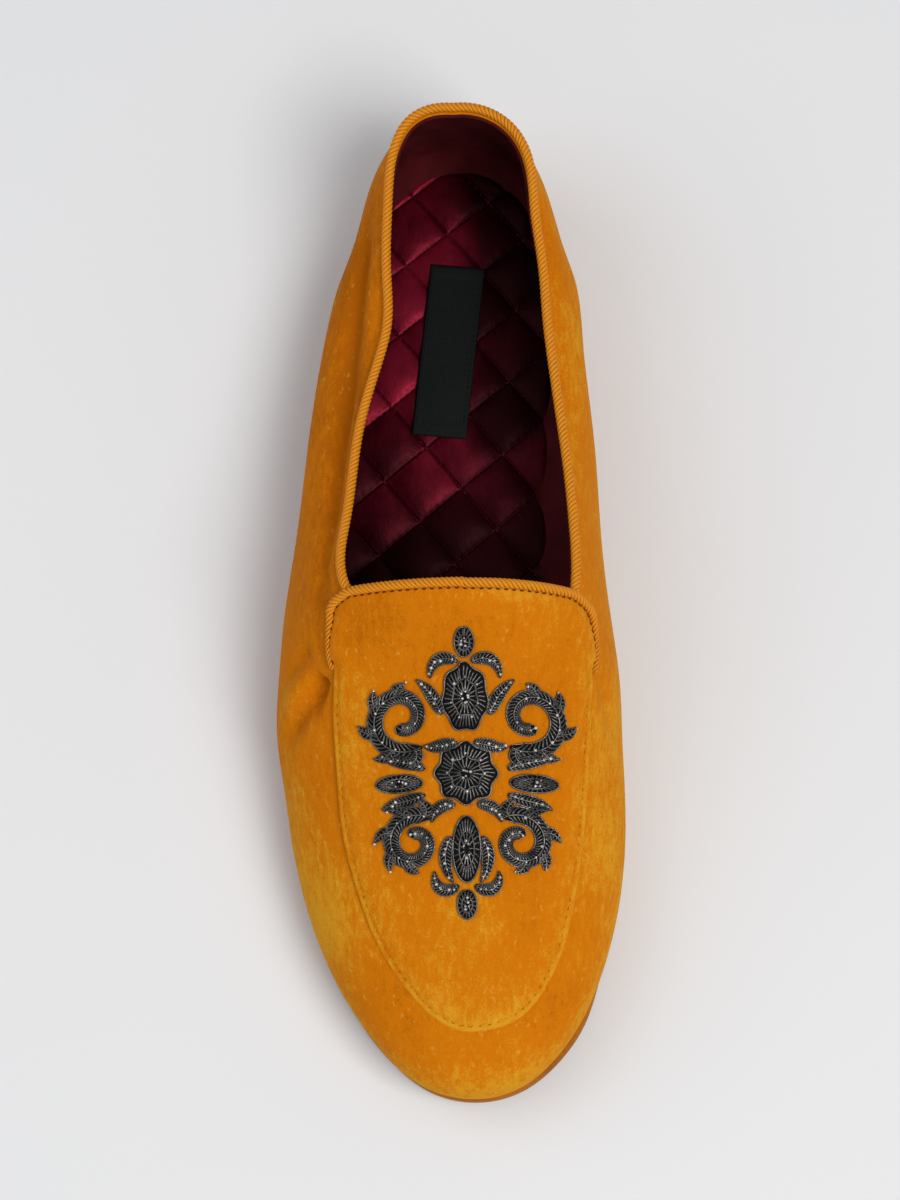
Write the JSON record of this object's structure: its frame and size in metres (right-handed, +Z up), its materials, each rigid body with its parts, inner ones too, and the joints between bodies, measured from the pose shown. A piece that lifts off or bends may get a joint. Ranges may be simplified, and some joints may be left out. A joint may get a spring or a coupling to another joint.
{
  "type": "velvet slipper loafer",
  "caption": "Right-foot velvet slipper loafer with piped collar, free-tabbed embroidered apron, quilted insole and low heel, open and hollow inside.",
  "frame": {"origin": "on the floor at the middle of the shoe's length and width", "axes": "+Z up from the floor, +Y towards the heel along the shoe's length, +X towards the medial (big-toe) side"},
  "size_m": [0.104, 0.3, 0.0752],
  "materials": {
    "sole_leather": "smooth tan leather edge, worn matt underneath",
    "heel_leather": "stacked tan leather, matt",
    "satin": "quilted burgundy satin, soft sheen",
    "label": "bare black woven label",
    "velvet": "orange-gold velvet, bright at grazing angles",
    "velvet_apron": "orange-gold velvet, bright at grazing angles",
    "piping": "twisted orange cord",
    "bullion": "blackened metal-thread embroidery with small silver glints"
  },
  "bodies": {
    "root": {"outsole": "sole_leather", "heel": "heel_leather", "insole": "satin", "insole_label": "label", "upper": "velvet", "apron": "velvet_apron", "collar_piping": "piping", "apron_piping": "piping", "heel_strip": "velvet", "embroidery_rosette": "bullion", "embroidery_palmette": "bullion", "embroidery_finial": "bullion", "embroidery_bud": "bullion", "embroidery_foot": "bullion", "embroidery_leaf_lateral": "bullion", "embroidery_leaf_medial": "bullion", "embroidery_upper_scroll_lateral": "bullion", "embroidery_upper_scroll_medial": "bullion", "embroidery_lower_scroll_lateral": "bullion", "embroidery_lower_scroll_medial": "bullion"}
  },
  "joints": []
}
